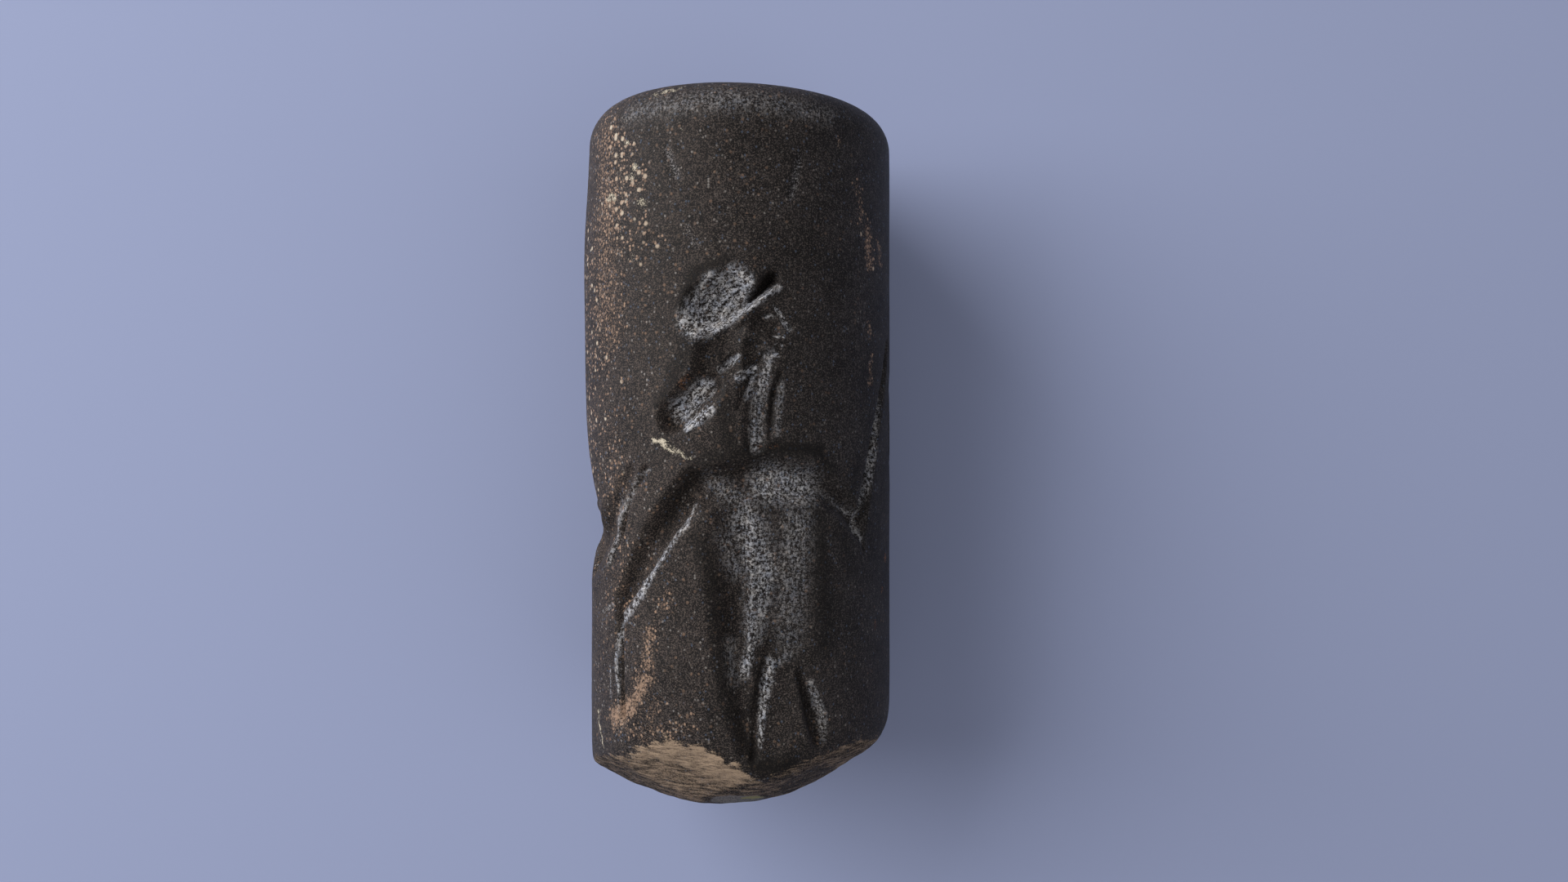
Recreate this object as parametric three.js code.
// A cylinder seal: a small drum of dark soft stone, bored from end to end for a cord, with a
// standing worshipper and two plainer companions cut into its side. Its foot end is broken
// away in flakes, and it lies on a worn flat along its back.
//
// Lengths are in millimetres and angles in degrees. +Y runs along the drum to its sound end,
// the top of the carved scene, +Z is up, out of the carved front, and +X is to the right of
// someone who looks down on the front. The origin is on the flat, below the drum's middle.

import * as THREE from "three";

// The drum
const LENGTH = 27.2;
const TOP_RADIUS = 6.28;
const FOOT_RADIUS = 6.08;
const TOP_EDGE = 1.4; // how far the worn rounding of the top edge reaches
const FOOT_EDGE = 0.9;
const TOP_SLANT = 0.5; // the top end slopes down to the right by this angle
const UNEVENNESS = 0.04; // how far the hand-ground side strays from a true circle
const LEAN = 0.5; // the foot end stands out to the right of the top end by this angle
const CORNER_WEAR = 0.38; // how much is rubbed off the left of the top end
const CORNER_REACH = 7;
const FLAT_WIDTH = 2.4; // the worn flat at its narrow end, which is the foot

// The bore, drilled from both ends and narrowest where the two holes meet
const BORE_RADIUS = 1.6;
const BORE_WAIST = 1.35;
const MOUTH_WEAR = 0.45; // how far the cord has opened each mouth

// The carving
const CUT_DEPTH = 0.72; // the deepest form
const FOOT_MARGIN = 2.1; // from the foot end to the feet of the figures
const WORSHIPPER_HEIGHT = 18.2;
const COMPANION_HEIGHT = 17;
const WORSHIPPER_ANGLE = 9.2; // where each figure's upright stands round the drum
const LEFT_COMPANION_ANGLE = -121;
const RIGHT_COMPANION_ANGLE = 121;

// The flakes off the foot edge: where each faces, how steeply it faces down, and how far up
// the side it reaches
const FLAKES = [
  { angle: -45, slope: 49.5, rise: 2 },
  { angle: -21, slope: 30, rise: 3.1 },
  { angle: 1, slope: 57, rise: 1.5 },
  { angle: 45, slope: 50, rise: 2.3 },
  { angle: 103, slope: 54.5, rise: 2.75 },
  { angle: 152, slope: 58, rise: 1.7 },
  { angle: -128, slope: 64, rise: 1.5 },
];
const FLAKE_SOFTNESS = 0.17; // wear along the edges of a flake

// The mesh
const MERIDIANS = 77;
const FRONT_CROWDING = 0.38; // how much closer the meridians stand at the front than on average
const SIDE_ROWS = 46;
const TOP_EDGE_ROWS = 4;
const FOOT_EDGE_ROWS = 6;
const TOP_FACE_ROWS = 1;
const FOOT_FACE_ROWS = 3;
const BORE_ROWS = 2;
const CARVING_PULL = 7; // how strongly the side's grid is drawn to the walls of the carving
const PULL_ROUNDS = 70;

const halfLength = LENGTH / 2;
const meanRadius = (TOP_RADIUS + FOOT_RADIUS) / 2;
const girth = 2 * Math.PI * meanRadius;
const flatDistance = Math.sqrt((FOOT_RADIUS - UNEVENNESS) ** 2 - (FLAT_WIDTH / 2) ** 2);
const radians = THREE.MathUtils.degToRad;
const lerp = THREE.MathUtils.lerp;
const smoothstep = THREE.MathUtils.smoothstep;

// A stroke of the graver is a list of knots [across, up, half width, depth], in hundredths of
// the figure's height from the foot of its upright, with depth as a share of CUT_DEPTH. wall is
// the share of the half width that the slope of its side takes, so 1 is a round-bottomed groove.
const WORSHIPPER = {
  cap: { wall: 0.75, knots: [[-9.8, 91.2, 5.9, 0.95], [-5.6, 93.5, 6.3, 0.85]] },
  brim: { wall: 1, knots: [[-4, 90.5, 2, 0.55], [3.2, 97.4, 2, 0.75]] },
  cheek: { wall: 0.9, knots: [[0.5, 88.6, 3.2, 0.5], [3.2, 87.4, 2.9, 0.45]] },
  neck: { wall: 0.7, knots: [[-6.5, 86, 4.4, 0.5], [-6.5, 80, 4.6, 0.5]] },
  beard: { wall: 0.9, knots: [[-1, 83, 3.4, 0.4], [0, 75, 3.8, 0.45], [-0.6, 64, 3, 0.4]] },
  nape: { wall: 0.75, knots: [[-9.6, 83, 3.4, 0.5], [-10.4, 78, 3.6, 0.6]] },
  hairBun: { wall: 0.7, knots: [[-17.4, 69.6, 4, 0.8], [-10.4, 76, 4.4, 0.7]] },
  chest: { wall: 0.7, knots: [[-10.5, 55.5, 4.9, 0.8], [3, 57.6, 6, 0.9], [12.5, 56.2, 4.6, 0.75]] },
  backArm: {
    wall: 0.85,
    knots: [[-12.5, 56, 4.6, 0.85], [-19.2, 48.8, 4.1, 0.75], [-25, 41, 3.6, 0.62], [-31.2, 32, 2.4, 0.5]],
  },
  backStaff: { wall: 1, knots: [[-32, 30.5, 1.6, 0.42], [-31.4, 8, 1.3, 0.32]] },
  frontArm: { wall: 1, knots: [[12, 57, 4.4, 0.7], [19, 53, 3.6, 0.6], [24.3, 47.4, 3, 0.55]] },
  frontStaff: {
    wall: 1,
    knots: [[24.4, 46.6, 2.2, 0.6], [27.6, 56.5, 2.2, 0.55], [30.4, 65, 2, 0.5], [39, 86.5, 1.5, 0.35]],
  },
  robe: {
    wall: 1,
    knots: [
      [1.8, 54, 12.6, 0.62], [1.8, 35, 12.6, 0.64], [2.2, 20, 11.4, 0.55],
      [2.6, 9, 8.4, 0.38], [1.5, 3, 4.5, 0.2],
    ],
  },
  robeFold: {
    wall: 1,
    knots: [
      [-3.6, 54, 7.8, 0.72], [-4, 38, 7.8, 0.8], [-4, 26, 6.8, 0.8],
      [-4, 15, 4.8, 0.7], [-2.8, 4, 3, 0.45],
    ],
  },
  middlePleat: {
    wall: 1,
    knots: [[2.6, 25, 1.8, 0.45], [0.8, 18, 2.5, 0.74], [-0.6, 11, 2.5, 0.7], [-1.4, 2.5, 2, 0.5]],
  },
  hem: { wall: 1, knots: [[8.8, 18, 2, 0.5], [11.2, 11, 2.7, 0.6], [12.8, 5, 2.6, 0.5]] },
};

// Each companion faces the worshipper; across counts towards the worshipper's side.
const COMPANION = {
  head: { wall: 0.6, knots: [[-1.5, 92, 4.6, 0.75], [1.5, 93, 4.4, 0.7]] },
  neck: { wall: 0.8, knots: [[0, 87, 2.6, 0.45], [-0.5, 74, 3.2, 0.45]] },
  shoulders: { wall: 0.6, knots: [[-9, 66, 4, 0.7], [8, 67, 4, 0.7]] },
  robe: { wall: 0.85, knots: [[0, 64, 7.5, 0.75], [-0.5, 40, 6.6, 0.7], [0, 12, 8.2, 0.6], [0.5, 3, 5, 0.3]] },
  fold: { wall: 1, knots: [[-2.5, 58, 2.6, 0.9], [-3, 10, 2.8, 0.75]] },
  hangingArm: { wall: 0.8, knots: [[-9.5, 65, 3.2, 0.7], [-13, 52, 2.4, 0.6], [-9.5, 42, 1.8, 0.5]] },
};
const LEFT_REACH = {
  upperArm: { wall: 0.9, knots: [[7, 64, 3.6, 0.7], [11, 50, 5, 0.9]] },
  forearm: {
    wall: 1,
    knots: [[9, 44, 7, 0.9], [22, 49.5, 10, 0.8], [31, 43.5, 7.6, 1.15], [44, 50, 5.5, 0.5]],
  },
  wrist: { wall: 1, knots: [[18.4, 65.5, 14, 0.57], [31, 48.5, 13.5, 0.8]] },
  hand: { wall: 1, knots: [[42, 50, 4.6, 0.45], [48, 56, 3.6, 0.35], [53, 63, 2.2, 0.2]] },
  rubbedSide: { wall: 1, knots: [[22, 42.5, 14, 0.3], [22, 8, 12, 0.04]] },
};
const RIGHT_REACH = {
  forearm: { wall: 0.9, knots: [[9, 64, 3, 0.7], [19, 56, 2.4, 0.6], [25, 68, 2, 0.5], [24, 82, 4.5, 0.3]] },
};
// A crescent, which fills the field beside the flat
const EMBLEM_ANGLE = 150;
const EMBLEM_RADIUS = 1.5;
const EMBLEM_HEIGHT = 21; // from the foot end to the crescent's middle

// A figure's strokes on the unrolled side, in millimetres: across from the front's middle and
// up from the foot end. facing is 1 for a figure that faces right and -1 for one facing left.
function placedFigure(strokes, height, angle, facing) {
  const unit = height / 100;
  const middle = radians(angle) * meanRadius;
  return Object.values(strokes).map(({ wall, knots }) => ({
    wall,
    knots: knots.map(([across, up, halfWidth, depth]) => [
      middle + facing * across * unit,
      FOOT_MARGIN + up * unit,
      halfWidth * unit,
      depth * CUT_DEPTH,
    ]),
  }));
}

function crescent() {
  const middle = radians(EMBLEM_ANGLE) * meanRadius;
  const knots = [];
  for (let turn = -70; turn <= 70; turn += 20) {
    const swell = Math.cos(radians(turn));
    knots.push([
      middle + EMBLEM_RADIUS * Math.sin(radians(turn)),
      EMBLEM_HEIGHT - EMBLEM_RADIUS * Math.cos(radians(turn)),
      0.3 + 0.25 * swell,
      CUT_DEPTH * (0.25 + 0.3 * swell),
    ]);
  }
  return { wall: 1, knots };
}

const STROKES = [
  ...placedFigure(WORSHIPPER, WORSHIPPER_HEIGHT, WORSHIPPER_ANGLE, 1),
  ...placedFigure({ ...COMPANION, ...LEFT_REACH }, COMPANION_HEIGHT, LEFT_COMPANION_ANGLE, 1),
  ...placedFigure({ ...COMPANION, ...RIGHT_REACH }, COMPANION_HEIGHT, RIGHT_COMPANION_ANGLE, -1),
  crescent(),
];

// How deep one stroke cuts at a place on the unrolled side
function strokeDepth({ wall, knots }, across, up) {
  let deepest = 0;
  for (let i = 0; i + 1 < knots.length; i++) {
    const [x0, y0, width0, depth0] = knots[i];
    const [x1, y1, width1, depth1] = knots[i + 1];
    const run = [x1 - x0, y1 - y0];
    const share = ((across - x0) * run[0] + (up - y0) * run[1]) / (run[0] ** 2 + run[1] ** 2);
    const t = THREE.MathUtils.clamp(share, 0, 1);
    const off = Math.hypot(across - lerp(x0, x1, t), up - lerp(y0, y1, t)) / lerp(width0, width1, t);
    deepest = Math.max(deepest, lerp(depth0, depth1, t) * smoothstep(1 - off, 0, wall));
  }
  return deepest;
}

// The strokes run into each other as worn cuts do: the deeper one counts, with a soft join.
function carvedDepth(across, up) {
  const JOIN = 5;
  const near = across - girth * Math.round(across / girth);
  const sum = STROKES.reduce((total, stroke) => total + strokeDepth(stroke, near, up) ** JOIN, 0);
  return sum ** (1 / JOIN);
}

function radiusAt(y) {
  return lerp(FOOT_RADIUS, TOP_RADIUS, (y + halfLength) / LENGTH);
}

// The drum's section, with its side as a list of its own: up the bore and over the top end, down
// the side, and back under the foot end
function drumSection() {
  const mouthY = halfLength - MOUTH_WEAR;
  const mouthRadius = BORE_RADIUS + MOUTH_WEAR;
  const before = [];
  for (let i = 0; i <= BORE_ROWS; i++) {
    const y = lerp(-mouthY, mouthY, i / BORE_ROWS);
    before.push(new THREE.Vector2(lerp(BORE_WAIST, BORE_RADIUS, Math.abs(y) / mouthY), y));
  }
  const topFaceRadius = radiusAt(halfLength) - TOP_EDGE;
  for (let i = 0; i < TOP_FACE_ROWS; i++) {
    before.push(new THREE.Vector2(lerp(mouthRadius, topFaceRadius, i / TOP_FACE_ROWS), halfLength));
  }
  for (let i = 0; i < TOP_EDGE_ROWS; i++) {
    const turn = radians((90 * i) / TOP_EDGE_ROWS);
    const y = halfLength - TOP_EDGE * (1 - Math.cos(turn));
    before.push(new THREE.Vector2(radiusAt(y) - TOP_EDGE * (1 - Math.sin(turn)), y));
  }
  const side = [];
  for (let i = 0; i <= SIDE_ROWS; i++) {
    const y = lerp(halfLength - TOP_EDGE, FOOT_EDGE - halfLength, i / SIDE_ROWS);
    side.push(new THREE.Vector2(radiusAt(y), y));
  }
  const after = [];
  for (let i = 1; i < FOOT_EDGE_ROWS; i++) {
    const turn = radians((90 * i) / FOOT_EDGE_ROWS);
    const y = -halfLength + FOOT_EDGE * (1 - Math.sin(turn));
    after.push(new THREE.Vector2(radiusAt(y) - FOOT_EDGE * (1 - Math.cos(turn)), y));
  }
  const footFaceRadius = radiusAt(-halfLength) - FOOT_EDGE;
  for (let i = 0; i <= FOOT_FACE_ROWS; i++) {
    after.push(new THREE.Vector2(lerp(footFaceRadius, mouthRadius, i / FOOT_FACE_ROWS), -halfLength));
  }
  after.push(before[0].clone());
  return { before, side, after };
}

// The places of the side's points, one row after another, on the unrolled side. The grid starts
// even and is drawn to the walls of the carving: each point goes to the middle of its four
// neighbours, where a neighbour at another depth pulls harder.
function sidePlaces(side) {
  const rows = side.map(({ y }) =>
    Array.from({ length: MERIDIANS }, (_, i) => {
      const angle = meridianAngle(i);
      return { across: angle * meanRadius, up: y + halfLength, depth: 0 };
    }),
  );
  for (let round = 0; round < PULL_ROUNDS; round++) {
    for (const place of rows.flat()) {
      place.depth = carvedDepth(place.across, place.up);
    }
    for (let row = 1; row + 1 < rows.length; row++) {
      for (let i = 0; i < MERIDIANS; i++) {
        const place = rows[row][i];
        const last = (i + MERIDIANS - 1) % MERIDIANS;
        const next = (i + 1) % MERIDIANS;
        const neighbours = [
          { ...rows[row - 1][i] },
          { ...rows[row + 1][i] },
          { ...rows[row][last], across: rows[row][last].across - (i === 0 ? girth : 0) },
          { ...rows[row][next], across: rows[row][next].across + (next === 0 ? girth : 0) },
        ];
        let weight = 0;
        let across = 0;
        let up = 0;
        for (const neighbour of neighbours) {
          const pull = 1 + (CARVING_PULL * Math.abs(neighbour.depth - place.depth)) / CUT_DEPTH;
          weight += pull;
          across += pull * neighbour.across;
          up += pull * neighbour.up;
        }
        place.across = across / weight;
        place.up = up / weight;
      }
    }
  }
  return rows;
}

function meridianAngle(i) {
  const even = (2 * Math.PI * i) / MERIDIANS;
  return even - FRONT_CROWDING * Math.sin(even);
}

// Where the grinding, the carving and the wear leave a point of the plain drum
function workedPoint(angle, plainRadius, y) {
  const outer = smoothstep(plainRadius, BORE_RADIUS + MOUTH_WEAR, radiusAt(y));
  const waver = -UNEVENNESS * (Math.sin(3 * angle + y / 16) + Math.cos(2 * angle));
  const toTop = smoothstep(y, halfLength - CORNER_REACH, halfLength);
  const rubbed = CORNER_WEAR * toTop * Math.max(0, -Math.sin(angle)) ** 2;
  const depth = carvedDepth(angle * meanRadius, y + halfLength);
  const radius = plainRadius + outer * (waver - rubbed - depth);
  const point = new THREE.Vector3(radius * Math.sin(angle), y, radius * Math.cos(angle));
  point.x -= y * Math.tan(radians(LEAN));
  point.y -= smoothstep(y, 0, halfLength) * (point.x + TOP_RADIUS) * Math.tan(radians(TOP_SLANT));

  for (const { angle: facing, slope, rise } of FLAKES) {
    const normal = new THREE.Vector3(
      Math.sin(radians(facing)) * Math.cos(radians(slope)),
      -Math.sin(radians(slope)),
      Math.cos(radians(facing)) * Math.cos(radians(slope)),
    );
    const start = new THREE.Vector3(
      Math.sin(radians(facing)) * FOOT_RADIUS,
      -halfLength + rise,
      Math.cos(radians(facing)) * FOOT_RADIUS,
    );
    const over = normal.dot(point.clone().sub(start));
    point.addScaledVector(normal, -FLAKE_SOFTNESS * Math.log1p(Math.exp(over / FLAKE_SOFTNESS)));
  }

  point.z = Math.max(point.z, -flatDistance) + flatDistance;
  return point;
}

// Turns the diagonal of each face of the side the way that lies closer to the carving and folds
// neither of its triangles over.
function turnDiagonals(geometry, places) {
  const index = geometry.getIndex();
  const area = (one, two, three) => {
    const [p, q, r] = [places[one], places[two], places[three]];
    return (q.across - p.across) * (r.up - p.up) - (r.across - p.across) * (q.up - p.up);
  };
  for (let i = 0; i < index.count; i += 6) {
    const [a, b, d, c] = [0, 1, 2, 3].map((corner) => index.getX(i + corner));
    if (![a, b, c, d].every((corner) => places[corner])) {
      continue;
    }
    const miss = (one, other, beside, opposite) => {
      if (area(one, beside, other) * area(one, other, opposite) <= 0) {
        return Infinity;
      }
      const [p, q] = [places[one], places[other]];
      const between = carvedDepth((p.across + q.across) / 2, (p.up + q.up) / 2);
      return Math.abs(between - (p.depth + q.depth) / 2);
    };
    if (miss(a, c, b, d) < miss(b, d, c, a)) {
      [a, b, c, a, c, d].forEach((corner, place) => index.setX(i + place, corner));
    }
  }
}

function sealGeometry() {
  const { before, side, after } = drumSection();
  const section = [...before, ...side, ...after].reverse();
  const sideStart = after.length;
  const sideRows = sidePlaces(side).reverse();
  const geometry = new THREE.LatheGeometry(section, MERIDIANS);
  const positions = geometry.getAttribute("position");
  const places = [];
  for (let i = 0; i <= MERIDIANS; i++) {
    section.forEach(({ x: plainRadius, y }, j) => {
      const vertex = i * section.length + j;
      const row = sideRows[j - sideStart];
      let point;
      if (row) {
        const turn = i === MERIDIANS ? girth : 0;
        const place = row[i % MERIDIANS];
        const placeY = place.up - halfLength;
        places[vertex] = { ...place, across: place.across + turn };
        point = workedPoint(place.across / meanRadius, radiusAt(placeY), placeY);
      } else {
        point = workedPoint(meridianAngle(i % MERIDIANS), plainRadius, y);
      }
      positions.setXYZ(vertex, point.x, point.y, point.z);
    });
  }
  turnDiagonals(geometry, places);
  geometry.computeVertexNormals();
  return geometry;
}

const darkStone = new THREE.MeshStandardMaterial({ color: 0x37322f, roughness: 0.58, metalness: 0 });

const seal = new THREE.Mesh(sealGeometry(), darkStone);
seal.name = "seal";

const group = new THREE.Group();
group.add(seal);

export default group;
